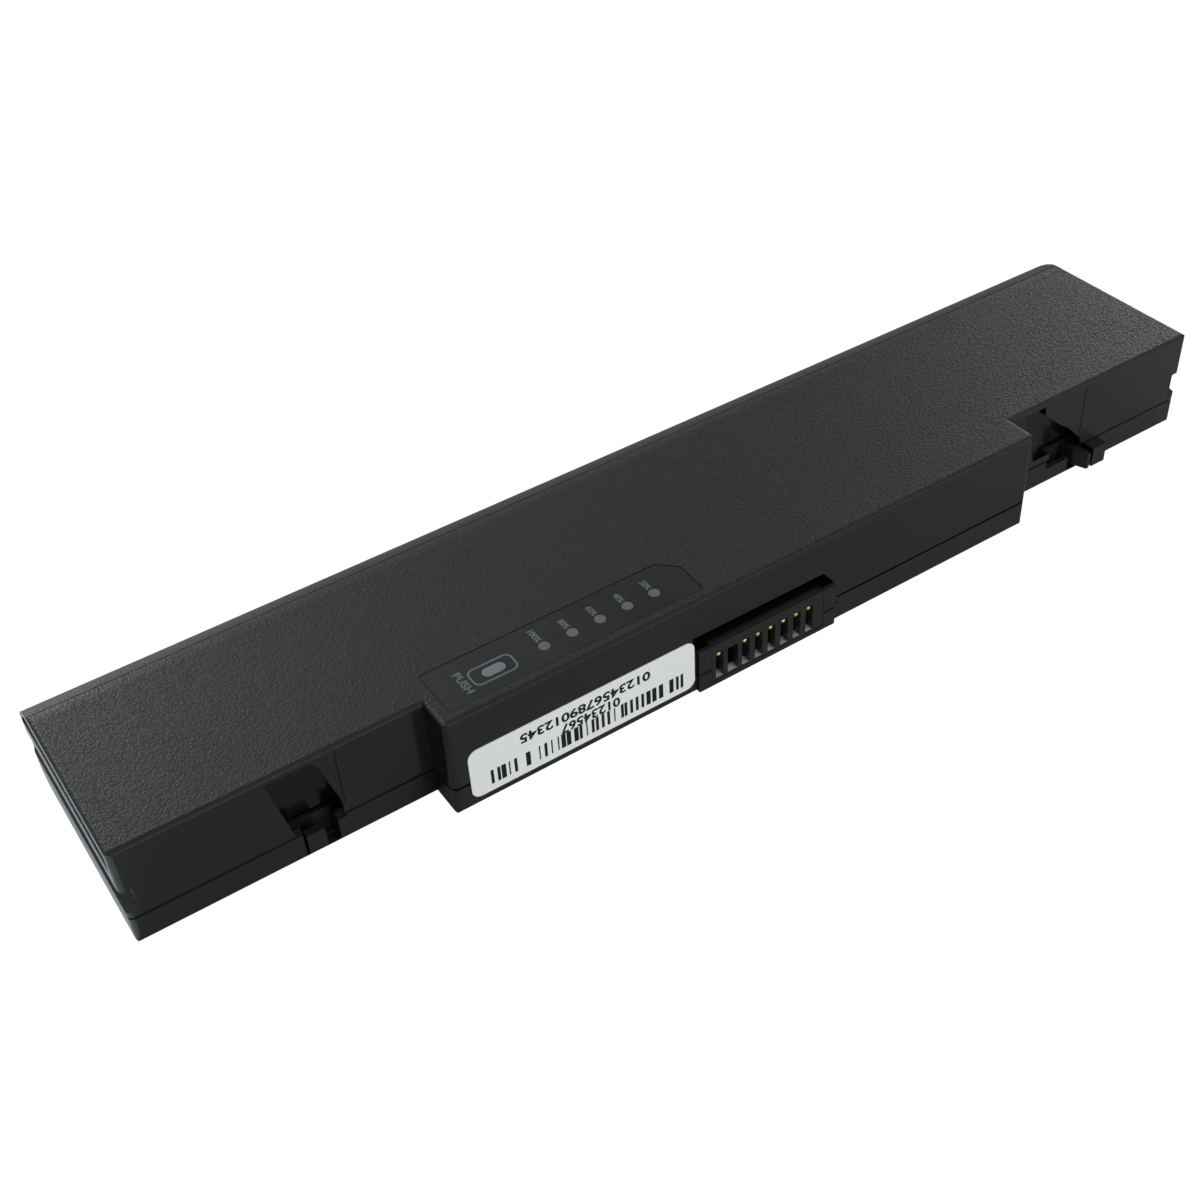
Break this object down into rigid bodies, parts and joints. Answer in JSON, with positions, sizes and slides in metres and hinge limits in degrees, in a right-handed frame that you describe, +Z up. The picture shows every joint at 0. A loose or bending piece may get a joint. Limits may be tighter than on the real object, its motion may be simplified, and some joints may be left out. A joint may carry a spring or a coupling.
{
  "type": "laptop battery",
  "caption": "Removable laptop battery pack with a rounded rear edge, stepped front, slotted connector, latch pockets and a charge gauge with a push button.",
  "frame": {"origin": "middle of the bounding box, on the flat base that the pack rests on", "axes": "+X along the length, to the right seen from the connector side; +Y from the connector side to the rounded rear edge; +Z up to the face with the charge gauge"},
  "size_m": [0.224, 0.0506, 0.0205],
  "materials": {
    "case_top": "fine leather grain on top, satin fronts",
    "case_bottom": "satin",
    "film": "smooth printed film",
    "button": "smooth",
    "light_guide": "translucent, frosted",
    "label": "printed label",
    "connector": "satin",
    "contact": "gold plated",
    "board": "solder resist",
    "switch": "stamped",
    "led": "clear resin",
    "component": "moulded",
    "paper": "insulating paper",
    "cell": "shrink sleeve",
    "nickel": "plain"
  },
  "bodies": {
    "pack": {"top_cover": "case_top", "bottom_cover": "case_bottom", "gauge_film": "film", "light_guide": "light_guide", "front_label": "label", "connector_housing": "connector", "contact_1": "contact", "contact_2": "contact", "contact_3": "contact", "contact_4": "contact", "contact_5": "contact", "contact_6": "contact", "contact_7": "contact", "circuit_board": "board", "tact_switch": "switch", "gauge_led_1": "led", "gauge_led_2": "led", "gauge_led_3": "led", "gauge_led_4": "led", "gauge_led_5": "led", "gauge_chip": "component", "power_switch_chip_1": "component", "power_switch_chip_2": "component", "sense_resistor": "component", "thermistor": "component", "thermal_fuse": "component", "insulating_paper": "paper", "cell_1": "cell", "cell_2": "cell", "cell_3": "cell", "cell_4": "cell", "cell_5": "cell", "cell_6": "cell", "end_strip_left": "nickel", "middle_strip_left": "nickel", "middle_strip_right": "nickel", "end_strip_right": "nickel"},
    "button": {"gauge_button": "button", "switch_plunger": "component"}
  },
  "joints": [
    {"name": "button_press", "type": "slide", "parent": "pack", "child": "button", "axis": [0, 0, -1], "range_m": [0, 0.0003], "stiffness_N_per_m": 3000}
  ]
}
